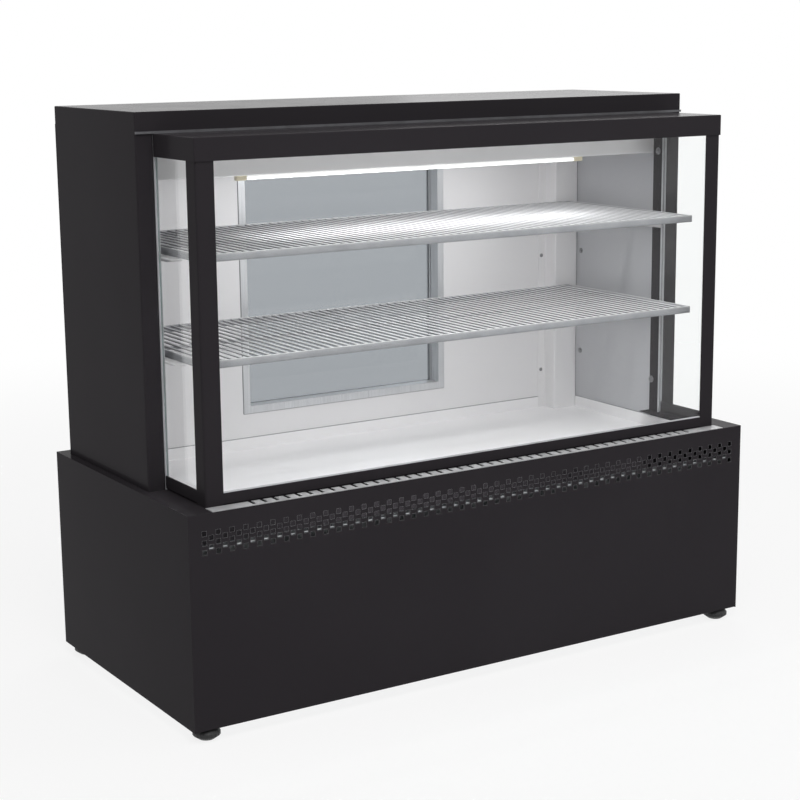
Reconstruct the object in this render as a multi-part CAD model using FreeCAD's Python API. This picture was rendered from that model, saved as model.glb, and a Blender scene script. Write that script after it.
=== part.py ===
import FreeCAD, Part
import math
import os
from FreeCAD import Vector

# Ambient display case. A sheet-metal plinth on levelling feet carries a rear cabinet with a
# glazed door on the staff side, and in front of it a glazed box under a lower canopy.
# The origin is on the floor under the middle of the plinth: +X is to the customer's right,
# +Y points to the staff side and +Z is up. Lengths are in millimetres, angles in degrees.

# Overall sizes
case_width = 1200.0
case_depth = 560.0
foot_height = 22.0
plinth_height = 373.0
upper_height = 640.0

# Gauges and clearances
sheet = 1.5
bend_radius = 1.5
soft_edge = 2.0
angle_gauge = 2.5
glass_gauge = 5.0
seat_gap = 0.3
glass_gap = 0.6
running_gap = 0.05

# Plinth
return_width = 14.0
pan_flange = 20.0
rear_recess = 12.0
ledge_width = 45.0
deck_drop = 34.0
deck_upstand = 24.0
support_height = 30.0
support_width = 30.0
support_gauge = 2.0
support_spacing = 220.0
stiffener_drop = 59.0
stiffener_depth = 22.0
stiffener_leg = 30.0

# Perforated band of the plinth front: columns of three holes alternate with columns of two
hole_size = 9.0
column_pitch = 25.4
row_pitch = 16.0
long_column_holes = 3
perforation_drop = 33.5
perforation_margin = 28.0

# Comb-like vent strip on the front ledge
strip_gauge = 1.0
strip_margin = 1.0
slot_width = 6.5
slot_length = 19.5
slot_pitch = 22.0
slot_end_margin = 70.0

# Levelling feet
foot_inset_x = 33.0
foot_inset_y = 25.0
pad_radius = 24.0
pad_base_radius = 13.5
pad_neck_radius = 17.0
pad_band_bottom = 8.0
pad_band_height = 5.0
stem_radius = 5.0
stem_length = 45.0
stem_clearance = 2.0
socket_radius = 8.0
socket_height = 40.0

# Rear cabinet
cabinet_side_inset = 15.0
cabinet_setback = 182.0
cabinet_rear_inset = 32.0
fascia_height = 32.0
trim_height = 4.0
trim_depth = 3.0
post_width = 32.0
post_return = 41.0
rear_return = 18.0
rear_wall_depth = 24.0
roof_drop = 8.0
column_face = 58.0
column_depth = 37.0
column_flange = 17.0
column_gap = 2.0
valance_height = 77.0
valance_flange = 27.0

# Lamp, driver and lead
lamp_length = 715.0
lamp_radius = 3.8
lamp_setback = 10.0
lamp_gap = 0.5
holder_length = 20.0
holder_side = 9.0
driver_length = 150.0
driver_width = 40.0
driver_height = 28.0
lead_radius = 3.5
lead_clearance = 2.5
lead_bend = 20.0

# Glazed box
glazed_side_inset = 46.0
front_ledge = 28.0
header_height = 38.0
corner_leg = 33.0
front_rail_height = 21.0
side_rail_height = 24.0
rail_leg = 25.0
channel_depth = 4.0
channel_bite = 3.0
channel_wall = 0.8

# Wire shelves
shelf_front_setback = 72.0
shelf_side_gap = 29.0
shelf_rear_gap = 7.0
lower_shelf_height = 235.0
upper_shelf_height = 412.0
bar_gauge = 3.0
bar_height = 13.0
wire_radius = 1.9
wire_sides = 8
wire_pitch = 17.4
middle_bar_height = 6.0

# Shelf arms
arm_gauge = 2.0
arm_reach = 38.0
arm_overlap = 3.0
arm_tab = 24.0
arm_lip = 12.0
arm_taper = 60.0
arm_tip = 4.0

# Rear door
opening_width = 440.0
opening_height = 472.0
opening_sill = 51.0
opening_lip = 14.0
lip_gauge = 2.0
reveal_gauge = 2.0
door_overlap = 22.0
door_rail = 20.0
door_thickness = 14.0
door_standoff = 6.0
door_glass_gauge = 4.0
glass_bite = 8.0
gasket_margin = 4.0
gasket_width = 12.0
pull_gauge = 2.0
pull_height = 120.0
pull_base = 16.0
pull_hook = 22.0
pull_standoff = 11.5
pull_margin = 4.0

# Lift-off hinges of the rear door
hinge_gauge = 2.0
hinge_offset = 9.0
hinge_depth = 8.0
hinge_plate = 25.0
hinge_end_margin = 60.0
knuckle_radius = 5.0
knuckle_height = 20.0
knuckle_gap = 0.5
pin_radius = 2.5
pin_margin = 1.0

# Power switch and cord entry on the plinth's rear panel
switch_inset = 130.0
switch_height = 233.0
cutout_width = 22.0
cutout_height = 28.0
bezel_rim = 2.5
bezel_gauge = 2.0
switch_depth = 22.0
switch_gap = 0.2
rocker_radius = 10.4
rocker_gap = 0.4
rocker_width = 15.2
rocker_depth = 1.0
rocker_crown = 3.0
rocker_tilt = 8.0
grommet_inset = 80.0
grommet_height = 63.0
grommet_bore = 4.5
grommet_neck = 8.5
grommet_flange = 12.0
grommet_lip = 3.0

# Planes and levels of the plinth
side_x = case_width / 2
front_y = -case_depth / 2
rear_y = case_depth / 2
plinth_bottom = foot_height
plinth_top = plinth_bottom + plinth_height
plinth_inner_x = side_x - sheet
plinth_rear_y = rear_y - rear_recess
pan_bottom = plinth_bottom + sheet
pan_top = pan_bottom + sheet
deck_level = plinth_top - deck_drop
deck_bottom = deck_level - sheet

# Planes and levels of the rear cabinet
cabinet_x = side_x - cabinet_side_inset
cabinet_front = front_y + cabinet_setback
cabinet_rear = rear_y - cabinet_rear_inset
wall_x = cabinet_x - post_width
return_end = cabinet_front + post_return
liner_y = cabinet_rear - rear_wall_depth
column_y = liner_y - column_depth
lid_top = plinth_top + upper_height
fascia_bottom = lid_top - fascia_height
roof_level = fascia_bottom - roof_drop
roof_top = roof_level + sheet
valance_bottom = roof_level - valance_height

# Planes and levels of the glazed box
glazed_x = side_x - glazed_side_inset
glazed_front = front_y + front_ledge
frame_x = glazed_x - sheet
frame_front = glazed_front + sheet
canopy_top = fascia_bottom - trim_height
header_bottom = canopy_top - header_height
canopy_ceiling = canopy_top - sheet
glass_bottom = plinth_top + angle_gauge + glass_gap
glass_top = min(canopy_ceiling, roof_level - sheet) - seat_gap
glass_front = frame_front + angle_gauge + glass_gap
glass_back = glass_front + glass_gauge
glass_outer_x = frame_x - angle_gauge - glass_gap
glass_inner_x = glass_outer_x - glass_gauge
channel_inner_x = glass_inner_x - seat_gap - channel_wall

# Opening of the top frame, narrow under the glazed box and wide between the side liners,
# and the deck tray below it
narrow_opening_x = frame_x - rail_leg
wide_opening_x = wall_x + sheet + seat_gap
wide_opening_front = return_end - seat_gap
frame_opening_front = front_y + ledge_width
frame_opening_rear = liner_y + sheet + seat_gap
tray_x = wall_x - seat_gap
tray_front = frame_opening_front + seat_gap
tray_rear = liner_y - seat_gap

# Shelves and arms
shelf_x = wall_x - shelf_side_gap
shelf_front = front_y + shelf_front_setback
shelf_rear = column_y - shelf_rear_gap
arm_front = cabinet_front - arm_reach

# Rear door
opening_x = opening_width / 2
opening_bottom = plinth_top + opening_sill
opening_top = opening_bottom + opening_height
door_x = opening_x + door_overlap
door_bottom = opening_bottom - door_overlap
door_top = opening_top + door_overlap
door_inside = cabinet_rear + door_standoff
door_outside = door_inside + door_thickness
hinge_x = door_x + hinge_offset
hinge_y = door_inside + hinge_depth
hinge_levels = (door_bottom + hinge_end_margin, door_top - hinge_end_margin - 2 * knuckle_height)

# Power switch and cord entry
switch_x = side_x - switch_inset
switch_level = plinth_bottom + switch_height
grommet_x = side_x - grommet_inset
grommet_level = plinth_bottom + grommet_height

# Route of the inner lead: from the switch, up the right corner upright, to the driver in the lid
lead_x = wall_x - column_face / 2
lead_y = liner_y - column_depth / 2
lead_level = roof_top + driver_height / 2


# Solids and cross-sections

def block(x, y, z):
    size = (x[1] - x[0], y[1] - y[0], z[1] - z[0])
    return Part.makeBox(*size, Vector(x[0], y[0], z[0]))


def mirrored(shape):
    return shape.mirror(Vector(0, 0, 0), Vector(1, 0, 0))


# A section drawn in (x, y), extruded upwards
def along_z(face, low, high):
    solid = face.extrude(Vector(0, 0, high - low))
    solid.translate(Vector(0, 0, low))
    return solid


# A section drawn in (y, z), extruded to the right
def along_x(face, low, high):
    solid = face.extrude(Vector(0, 0, high - low))
    turn = FreeCAD.Rotation(Vector(1, 1, 1), 120)
    solid.Placement = FreeCAD.Placement(Vector(low, 0, 0), turn)
    return solid


# A section drawn in (x, z), extruded to the rear
def along_y(face, low, high):
    solid = face.extrude(Vector(0, 0, high - low))
    turn = FreeCAD.Rotation(Vector(1, 0, 0), 90)
    solid.Placement = FreeCAD.Placement(Vector(0, high, 0), turn)
    return solid


def outline(corners):
    points = [Vector(u, v, 0) for u, v in corners]
    return Part.makePolygon(points + points[:1])


def rectangle(u, v):
    return outline([(u[0], v[0]), (u[1], v[0]), (u[1], v[1]), (u[0], v[1])])


def pierced(border, holes):
    return Part.makeFace([border] + holes, "Part::FaceMakerBullseye")


# Lines through the corners, joined by tangent arcs of the given radii
def rounded_line(corners, radii):
    edges = []
    start = corners[0]
    for before, corner, after, radius in zip(corners, corners[1:], corners[2:], radii):
        arriving = (corner - before).normalize()
        leaving = (after - corner).normalize()
        half_turn = arriving.getAngle(leaving) / 2
        reach = radius * math.tan(half_turn)
        inward = (leaving - arriving).normalize()
        first = corner - arriving * reach
        middle = corner + inward * (radius / math.cos(half_turn) - radius)
        last = corner + leaving * reach
        edges.append(Part.makeLine(start, first))
        edges.append(Part.Arc(first, middle, last).toShape())
        start = last
    edges.append(Part.makeLine(start, corners[-1]))
    return edges


# Section of a bent sheet: the corners lie on one skin, and the other skin is to its left
def folded(corners, gauge):
    skin = [Vector(u, v, 0) for u, v in corners]
    runs = [(after - before).normalize() for before, after in zip(skin, skin[1:])]
    sides = [Vector(-run.y, run.x, 0) for run in runs]
    other = [skin[0] + sides[0] * gauge]
    skin_radii = []
    other_radii = []
    for corner, arriving, leaving in zip(skin[1:], sides, sides[1:]):
        spread = 1 + arriving.dot(leaving)
        other.append(corner + (arriving + leaving) * (gauge / spread))
        turns_left = arriving.cross(leaving).z > 0
        skin_radii.append(bend_radius + gauge if turns_left else bend_radius)
        other_radii.append(bend_radius if turns_left else bend_radius + gauge)
    other.append(skin[-1] + sides[-1] * gauge)
    there = rounded_line(skin, skin_radii)
    back = rounded_line(other[::-1], other_radii[::-1])
    far_end = Part.makeLine(skin[-1], other[-1])
    near_end = Part.makeLine(other[0], skin[0])
    return Part.Face(Part.Wire(there + [far_end] + back + [near_end]))


# A tray with bent-up flanges, open at the top
def tray(x, y, z):
    body = block(x, y, z)
    body = body.makeFillet(bend_radius + sheet, [edge for edge in body.Edges if edge.BoundBox.ZMax < z[1]])
    inner_z = (z[0] + sheet, 2 * z[1] - z[0])
    hollow = block((x[0] + sheet, x[1] - sheet), (y[0] + sheet, y[1] - sheet), inner_z)
    hollow = hollow.makeFillet(bend_radius, [edge for edge in hollow.Edges if edge.BoundBox.ZMax < z[1]])
    return body.cut(hollow)


# A tray turned upside down, with soft outer edges and an open underside
def hood(x, y, z, inner_rear):
    shell = block(x, y, z)
    visible = [edge for edge in shell.Edges if edge.BoundBox.ZMin > z[0] or edge.BoundBox.ZLength > 0]
    shell = shell.makeFillet(soft_edge, visible)
    hollow = block((x[0] + sheet, x[1] - sheet), (y[0] + sheet, inner_rear), (z[0] - sheet, z[1] - sheet))
    return shell.cut(hollow)


# Plinth

def perforation_holes():
    columns = 1 + math.floor((case_width - 2 * perforation_margin) / column_pitch)
    top_row = plinth_top - perforation_drop
    half = hole_size / 2
    depth = (front_y - sheet, front_y + 2 * sheet)
    holes = []
    for step in range(2 * columns - 1):
        x = (step - columns + 1) * column_pitch / 2
        offset = step % 2
        for row in range(long_column_holes - offset):
            z = top_row - (row + offset / 2) * row_pitch
            holes.append(block((x - half, x + half), depth, (z - half, z + half)))
    return Part.makeCompound(holes)


def foot_centres():
    x = side_x - foot_inset_x
    y = case_depth / 2 - foot_inset_y
    return {"front_left": (-x, -y), "front_right": (x, -y), "rear_left": (-x, y), "rear_right": (x, y)}


# Holes for the stems of the feet
def stem_holes():
    radius = stem_radius + stem_clearance
    starts = [Vector(x, y, plinth_bottom - sheet) for x, y in foot_centres().values()]
    return Part.makeCompound([Part.makeCylinder(radius, 4 * sheet, start) for start in starts])


def plinth_front_panel():
    foot = (front_y + return_width, plinth_bottom)
    line = [(front_y, plinth_top - sheet), (front_y, plinth_bottom), foot]
    panel = along_x(folded(line, sheet), -plinth_inner_x, plinth_inner_x)
    return panel.cut(perforation_holes()).cut(stem_holes())


def plinth_rear_panel():
    foot = (plinth_rear_y - return_width, plinth_bottom)
    line = [foot, (plinth_rear_y, plinth_bottom), (plinth_rear_y, plinth_top - sheet)]
    panel = along_x(folded(line, sheet), -plinth_inner_x, plinth_inner_x)
    through = (plinth_rear_y - 2 * sheet, plinth_rear_y + sheet)
    width = (switch_x - cutout_width / 2, switch_x + cutout_width / 2)
    height = (switch_level - cutout_height / 2, switch_level + cutout_height / 2)
    entry = Vector(grommet_x, through[0], grommet_level)
    bore = Part.makeCylinder(grommet_neck + running_gap, through[1] - through[0], entry, Vector(0, 1, 0))
    return panel.cut(block(width, through, height)).cut(bore).cut(stem_holes())


def plinth_side_panel():
    return block((plinth_inner_x, side_x), (front_y, rear_y), (plinth_bottom, plinth_top - sheet))


def plinth_bottom_pan():
    y = (front_y + sheet, plinth_rear_y - sheet)
    pan = tray((-plinth_inner_x, plinth_inner_x), y, (pan_bottom, pan_bottom + pan_flange))
    return pan.cut(stem_holes())


def vent_slots():
    count = math.floor(2 * (glazed_x - slot_end_margin) / slot_pitch)
    first = -(count - 1) * slot_pitch / 2
    return [first + step * slot_pitch for step in range(count)]


def slot_range():
    return (glazed_front - slot_length, glazed_front)


def deck_opening():
    right = [(narrow_opening_x, frame_opening_front), (narrow_opening_x, wide_opening_front),
             (wide_opening_x, wide_opening_front), (wide_opening_x, frame_opening_rear)]
    left = [(-x, y) for x, y in reversed(right)]
    return outline(right + left)


def plinth_top_frame():
    border = rectangle((-side_x, side_x), (front_y, rear_y))
    reach = vent_slots()[-1] + slot_width
    window = rectangle((-reach, reach), slot_range())
    return along_z(pierced(border, [deck_opening(), window]), plinth_top - sheet, plinth_top)


def vent_strip():
    height = (plinth_top, plinth_top + strip_gauge)
    strip = block((-glazed_x, glazed_x), (front_y + strip_margin, glazed_front), height)
    half = slot_width / 2
    slots = [block((x - half, x + half), slot_range(), height) for x in vent_slots()]
    return strip.cut(Part.makeCompound(slots))


def front_stiffener():
    level = plinth_top - stiffener_drop - sheet
    front = front_y + sheet
    rear = front + stiffener_depth
    line = [(front, level), (rear, level), (rear, level - stiffener_leg)]
    return along_x(folded(line, sheet), -plinth_inner_x, plinth_inner_x)


def deck_supports():
    supports = []
    for y in (-support_spacing / 2, support_spacing / 2):
        width = (y - support_width / 2, y + support_width / 2)
        height = (deck_bottom - support_height, deck_bottom)
        inner_width = (width[0] + support_gauge, width[1] - support_gauge)
        inner_height = (height[0] + support_gauge, height[1] - support_gauge)
        section = pierced(rectangle(width, height), [rectangle(inner_width, inner_height)])
        supports.append(along_x(section, -plinth_inner_x, plinth_inner_x))
    return Part.makeCompound(supports)


def lead_hole(level):
    start = Vector(lead_x, lead_y, level - sheet)
    return Part.makeCylinder(lead_radius + lead_clearance, 3 * sheet, start)


def deck_tray():
    deck = tray((-tray_x, tray_x), (tray_front, tray_rear), (deck_bottom, deck_bottom + deck_upstand))
    inner_x = wall_x - column_face - column_flange - seat_gap
    corner = block((inner_x, wall_x), (column_y - seat_gap, liner_y), (deck_level, plinth_top))
    return deck.cut(corner).cut(mirrored(corner)).cut(lead_hole(deck_bottom))


# Levelling feet

def levelling_foot(x, y):
    pad_top = foot_height - seat_gap
    band_top = pad_band_bottom + pad_band_height
    stem_top = pad_top + stem_length
    profile = [(0, 0), (pad_base_radius, 0), (pad_radius, pad_band_bottom), (pad_radius, band_top),
               (pad_neck_radius, pad_top), (stem_radius, pad_top), (stem_radius, stem_top), (0, stem_top)]
    points = [Vector(radius, 0, z) for radius, z in profile]
    face = Part.Face(Part.makePolygon(points + points[:1]))
    foot = face.revolve(Vector(0, 0, 0), Vector(0, 0, 1), 360)
    foot.translate(Vector(x, y, 0))
    return foot


def foot_sockets():
    sockets = []
    for x, y in foot_centres().values():
        start = Vector(x, y, pan_top)
        nut = Part.makeCylinder(socket_radius, socket_height, start)
        sockets.append(nut.cut(Part.makeCylinder(stem_radius + running_gap, socket_height, start)))
    return Part.makeCompound(sockets)


# Rear cabinet

def cabinet_side_panel():
    rear = cabinet_rear - sheet
    line = [(wall_x, return_end), (wall_x, cabinet_front), (cabinet_x, cabinet_front),
            (cabinet_x, rear), (cabinet_x - rear_return, rear)]
    return along_z(folded(line, sheet), plinth_top, fascia_bottom)


def side_liner():
    return block((wall_x, wall_x + sheet), (return_end, liner_y), (deck_bottom, roof_level))


def corner_upright():
    web = wall_x - column_face
    line = [(wall_x - column_gap, column_y + sheet), (web + sheet, column_y + sheet),
            (web + sheet, liner_y), (web - column_flange, liner_y)]
    return along_z(folded(line, sheet), deck_level, roof_level)


def door_window(margin):
    width = (-opening_x - margin, opening_x + margin)
    return rectangle(width, (opening_bottom - margin, opening_top + margin))


def rear_liner():
    border = rectangle((-wall_x - sheet, wall_x + sheet), (deck_bottom, roof_level))
    return along_y(pierced(border, [door_window(reveal_gauge + seat_gap)]), liner_y, liner_y + sheet)


def rear_outer_panel():
    border = rectangle((-cabinet_x, cabinet_x), (plinth_top, fascia_bottom))
    window = door_window(reveal_gauge + seat_gap)
    return along_y(pierced(border, [window]), cabinet_rear - sheet, cabinet_rear)


def door_opening_frame():
    inside = liner_y - lip_gauge
    lip = along_y(pierced(door_window(opening_lip), [door_window(0)]), inside, liner_y)
    reveal = along_y(pierced(door_window(reveal_gauge), [door_window(0)]), inside, cabinet_rear)
    return lip.fuse(reveal).removeSplitter()


def lid():
    return hood((-cabinet_x, cabinet_x), (cabinet_front, cabinet_rear), (fascia_bottom, lid_top),
                cabinet_rear - sheet)


def fascia_trim():
    depth = (cabinet_front - trim_depth, cabinet_front)
    return block((-cabinet_x, cabinet_x), depth, (canopy_top, fascia_bottom))


def roof_liner():
    front = cabinet_front + sheet + seat_gap
    rear = liner_y + sheet
    roof = block((-wall_x - sheet, wall_x + sheet), (front, rear), (roof_level, roof_top))
    notch = block((wall_x - seat_gap, wall_x + 2 * sheet), (front, return_end), (roof_level, roof_top))
    return roof.cut(notch).cut(mirrored(notch)).cut(lead_hole(roof_level))


def valance():
    front = cabinet_front + sheet + seat_gap
    upright = return_end + sheet
    line = [(return_end + valance_flange, valance_bottom + sheet), (upright, valance_bottom + sheet),
            (upright, roof_level), (front, roof_level)]
    return along_x(folded(line, sheet), -wall_x + seat_gap, wall_x - seat_gap)


# Lamp and electrics

def lamp_axis():
    return return_end + lamp_setback, valance_bottom - lamp_gap - lamp_radius


def lamp_tube():
    y, z = lamp_axis()
    return Part.makeCylinder(lamp_radius, lamp_length, Vector(-lamp_length / 2, y, z), Vector(1, 0, 0))


def lamp_holders():
    y, z = lamp_axis()
    half = holder_side / 2
    start = lamp_length / 2
    holder = block((start, start + holder_length), (y - half, y + half), (z - half, valance_bottom))
    lower_edges = [edge for edge in holder.Edges if edge.BoundBox.ZMax < z]
    holder = holder.makeFillet(soft_edge, lower_edges)
    return Part.makeCompound([holder, mirrored(holder)])


def lamp_driver():
    half = driver_length / 2
    width = (lead_y - driver_width / 2, lead_y + driver_width / 2)
    box = block((-half, half), width, (roof_top, roof_top + driver_height))
    upright_edges = [edge for edge in box.Edges if edge.BoundBox.ZLength > 0]
    return box.makeFillet(soft_edge, upright_edges)


def supply_lead():
    corners = [Vector(switch_x, plinth_rear_y - switch_depth, switch_level),
               Vector(switch_x, lead_y, switch_level),
               Vector(lead_x, lead_y, switch_level),
               Vector(lead_x, lead_y, lead_level),
               Vector(driver_length / 2, lead_y, lead_level)]
    path = Part.Wire(rounded_line(corners, [lead_bend] * (len(corners) - 2)))
    section = Part.Wire(Part.makeCircle(lead_radius, corners[0], Vector(0, 1, 0)))
    return Part.Solid(path.makePipeShell([section], True, False))


# Glazed box

def canopy():
    return hood((-glazed_x, glazed_x), (glazed_front, cabinet_front), (header_bottom, canopy_top),
                cabinet_front + sheet)


def front_post():
    line = [(frame_x - corner_leg, frame_front), (frame_x, frame_front),
            (frame_x, frame_front + corner_leg)]
    return along_z(folded(line, angle_gauge), plinth_top, canopy_ceiling)


def front_rail():
    line = [(frame_front, plinth_top + front_rail_height), (frame_front, plinth_top),
            (frame_front + rail_leg, plinth_top)]
    half = frame_x - corner_leg
    return along_x(folded(line, angle_gauge), -half, half)


def side_rail():
    line = [(frame_x - rail_leg, plinth_top), (frame_x, plinth_top),
            (frame_x, plinth_top + side_rail_height)]
    return along_y(folded(line, angle_gauge), frame_front + corner_leg, cabinet_front)


def front_glass():
    return block((-glass_outer_x, glass_outer_x), (glass_front, glass_back), (glass_bottom, glass_top))


def side_glass():
    depth = (glass_back + seat_gap, cabinet_front + channel_bite)
    return block((glass_inner_x, glass_outer_x), depth, (glass_bottom, glass_top))


def glazing_channel():
    depth = (cabinet_front, cabinet_front + channel_depth)
    channel = block((channel_inner_x, wall_x), depth, (plinth_top, glass_top))
    slot_x = (glass_inner_x - seat_gap, glass_outer_x + seat_gap)
    slot_y = (cabinet_front - seat_gap, cabinet_front + channel_bite + seat_gap)
    return channel.cut(block(slot_x, slot_y, (plinth_top - sheet, glass_top + sheet)))


# Wire shelves

def shelf_wire(x, axis):
    half_side = math.pi / wire_sides
    turns = [(2 * step + 1) * half_side for step in range(wire_sides)]
    corners = [(x + wire_radius * math.cos(turn), axis + wire_radius * math.sin(turn)) for turn in turns]
    return along_y(Part.Face(outline(corners)), shelf_front + bar_gauge / 2, shelf_rear - bar_gauge / 2)


def wire_shelf(height):
    top = plinth_top + height
    border = rectangle((-shelf_x, shelf_x), (shelf_front, shelf_rear))
    inner_x = shelf_x - bar_gauge
    inside = rectangle((-inner_x, inner_x), (shelf_front + bar_gauge, shelf_rear - bar_gauge))
    frame = along_z(pierced(border, [inside]), top - bar_height, top)
    wire_half = wire_radius * math.cos(math.pi / wire_sides)
    axis = top - wire_half
    count = math.floor(2 * inner_x / wire_pitch)
    wires = [shelf_wire((step - (count - 1) / 2) * wire_pitch, axis) for step in range(count)]
    middle = (shelf_front + shelf_rear) / 2
    bar_top = axis - wire_half
    bar_depth = (middle - bar_gauge / 2, middle + bar_gauge / 2)
    bar = block((-inner_x, inner_x), bar_depth, (bar_top - middle_bar_height, bar_top))
    return frame.multiFuse(wires + [bar]).removeSplitter()


def shelf_arm(height):
    web = plinth_top + height - bar_height
    inner = shelf_x - arm_overlap
    low = web - arm_lip
    line = [(wall_x, web - arm_tab), (wall_x, web), (inner, web), (inner, low)]
    arm = along_y(folded(line, arm_gauge), arm_front, column_y - seat_gap)
    past_channel = cabinet_front + channel_depth + seat_gap
    glass_side = (channel_inner_x - seat_gap, wall_x + sheet)
    below = web - 2 * arm_tab
    arm = arm.cut(block(glass_side, (arm_front - arm_tip, past_channel), (below, web + arm_gauge)))
    underside = [(arm_front - arm_tip, web - arm_tip), (arm_front, web - arm_tip),
                 (arm_front + arm_taper, low), (arm_front + arm_taper, below), (arm_front - arm_tip, below)]
    taper = along_x(Part.Face(outline(underside)), inner - arm_gauge, channel_inner_x)
    return arm.cut(taper)


# Rear door

def door_rectangle(margin):
    width = (-door_x + margin, door_x - margin)
    return rectangle(width, (door_bottom + margin, door_top - margin))


def door_glass_middle():
    return (door_inside + door_outside) / 2


def door_frame():
    frame = along_y(pierced(door_rectangle(0), [door_rectangle(door_rail)]), door_inside, door_outside)
    edge = door_rail - glass_bite - seat_gap
    half = door_glass_gauge / 2 + seat_gap
    middle = door_glass_middle()
    groove = along_y(Part.Face(door_rectangle(edge)), middle - half, middle + half)
    return frame.cut(groove)


def door_glass():
    half = door_glass_gauge / 2
    middle = door_glass_middle()
    return along_y(Part.Face(door_rectangle(door_rail - glass_bite)), middle - half, middle + half)


def door_gasket():
    ring = pierced(door_rectangle(gasket_margin), [door_rectangle(gasket_margin + gasket_width)])
    return along_y(ring, cabinet_rear + seat_gap, door_inside)


def door_pull():
    edge = -door_x + pull_margin
    outer = door_outside + pull_standoff
    line = [(edge + pull_hook, outer), (edge, outer),
            (edge, door_outside), (edge + pull_base, door_outside)]
    middle = (door_bottom + door_top) / 2
    return along_z(folded(line, pull_gauge), middle - pull_height / 2, middle + pull_height / 2)


def knuckle(low):
    start = Vector(hinge_x, hinge_y, low)
    return Part.makeCylinder(knuckle_radius, knuckle_height, start)


def hinge_bore(low):
    start = Vector(hinge_x, hinge_y, low - knuckle_gap)
    return Part.makeCylinder(pin_radius + running_gap, knuckle_height + 2 * knuckle_gap, start)


def hinge_brackets():
    brackets = []
    arm = hinge_x + knuckle_radius - hinge_gauge
    line = [(arm, hinge_y), (arm, cabinet_rear), (arm + hinge_plate, cabinet_rear)]
    for low in hinge_levels:
        plate = along_z(folded(line, hinge_gauge), low, low + knuckle_height)
        brackets.append(plate.fuse(knuckle(low)).cut(hinge_bore(low)).removeSplitter())
    return Part.makeCompound(brackets)


def hinge_leaves():
    leaves = []
    top = hinge_y + knuckle_radius
    line = [(hinge_x, top), (door_x, top), (door_x, door_inside + hinge_gauge)]
    for level in hinge_levels:
        low = level + knuckle_height + knuckle_gap
        plate = along_z(folded(line, hinge_gauge), low, low + knuckle_height)
        leaves.append(plate.fuse(knuckle(low)).cut(hinge_bore(low)).removeSplitter())
    return Part.makeCompound(leaves)


def hinge_pins():
    length = 2 * knuckle_height - 2 * pin_margin
    starts = [Vector(hinge_x, hinge_y, low + pin_margin) for low in hinge_levels]
    return Part.makeCompound([Part.makeCylinder(pin_radius, length, start) for start in starts])


# Power switch and cord entry

def rocker_pivot():
    return Vector(switch_x, plinth_rear_y - rocker_depth, switch_level)


def pivot_cylinder(radius, length):
    start = rocker_pivot() - Vector(length / 2, 0, 0)
    return Part.makeCylinder(radius, length, start, Vector(1, 0, 0))


def switch_housing():
    half_x = cutout_width / 2 - switch_gap
    half_z = cutout_height / 2 - switch_gap
    body = block((switch_x - half_x, switch_x + half_x),
                 (plinth_rear_y - switch_depth, plinth_rear_y),
                 (switch_level - half_z, switch_level + half_z))
    rim_x = cutout_width / 2 + bezel_rim
    rim_z = cutout_height / 2 + bezel_rim
    bezel = block((switch_x - rim_x, switch_x + rim_x),
                  (plinth_rear_y, plinth_rear_y + bezel_gauge),
                  (switch_level - rim_z, switch_level + rim_z))
    pocket = pivot_cylinder(rocker_radius + rocker_gap, rocker_width + 2 * rocker_gap)
    return body.fuse(bezel).cut(pocket)


def switch_rocker():
    reach = rocker_radius + rocker_gap
    rise = reach * math.tan(math.radians(rocker_tilt))
    pivot = rocker_pivot()
    front = pivot.y + rocker_crown
    corners = [(pivot.y - reach, pivot.z - reach), (front + rise, pivot.z - reach), (front, pivot.z),
               (front + rise, pivot.z + reach), (pivot.y - reach, pivot.z + reach)]
    half = rocker_width / 2
    shape = along_x(Part.Face(outline(corners)), switch_x - half, switch_x + half)
    rocker = shape.common(pivot_cylinder(rocker_radius, rocker_width))
    rocker.rotate(pivot, Vector(1, 0, 0), rocker_tilt)
    return rocker


def cord_grommet():
    outside = plinth_rear_y + grommet_lip
    panel_inside = plinth_rear_y - sheet
    inside = panel_inside - grommet_lip
    profile = [(grommet_bore, inside), (grommet_flange, inside), (grommet_flange, panel_inside),
               (grommet_neck, panel_inside), (grommet_neck, plinth_rear_y), (grommet_flange, plinth_rear_y),
               (grommet_flange, outside), (grommet_bore, outside)]
    points = [Vector(radius, y, 0) for radius, y in profile]
    face = Part.Face(Part.makePolygon(points + points[:1]))
    grommet = face.revolve(Vector(0, 0, 0), Vector(0, 1, 0), 360)
    grommet.translate(Vector(grommet_x, 0, grommet_level))
    return grommet


# Every node under its own name

nodes = {
    "plinth_front_panel": plinth_front_panel(),
    "plinth_rear_panel": plinth_rear_panel(),
    "plinth_bottom_pan": plinth_bottom_pan(),
    "plinth_top_frame": plinth_top_frame(),
    "vent_strip": vent_strip(),
    "front_stiffener": front_stiffener(),
    "deck_supports": deck_supports(),
    "deck_tray": deck_tray(),
    "foot_sockets": foot_sockets(),
    "rear_liner": rear_liner(),
    "rear_outer_panel": rear_outer_panel(),
    "door_opening_frame": door_opening_frame(),
    "lid": lid(),
    "fascia_trim": fascia_trim(),
    "roof_liner": roof_liner(),
    "valance": valance(),
    "lamp_tube": lamp_tube(),
    "lamp_holders": lamp_holders(),
    "lamp_driver": lamp_driver(),
    "supply_lead": supply_lead(),
    "canopy": canopy(),
    "front_rail": front_rail(),
    "front_glass": front_glass(),
    "lower_shelf": wire_shelf(lower_shelf_height),
    "upper_shelf": wire_shelf(upper_shelf_height),
    "door_frame": door_frame(),
    "door_glass": door_glass(),
    "door_gasket": door_gasket(),
    "door_pull": door_pull(),
    "hinge_brackets": hinge_brackets(),
    "hinge_leaves": hinge_leaves(),
    "hinge_pins": hinge_pins(),
    "switch_housing": switch_housing(),
    "switch_rocker": switch_rocker(),
    "cord_grommet": cord_grommet(),
}

for place, (x, y) in foot_centres().items():
    nodes["levelling_foot_" + place] = levelling_foot(x, y)

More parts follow.
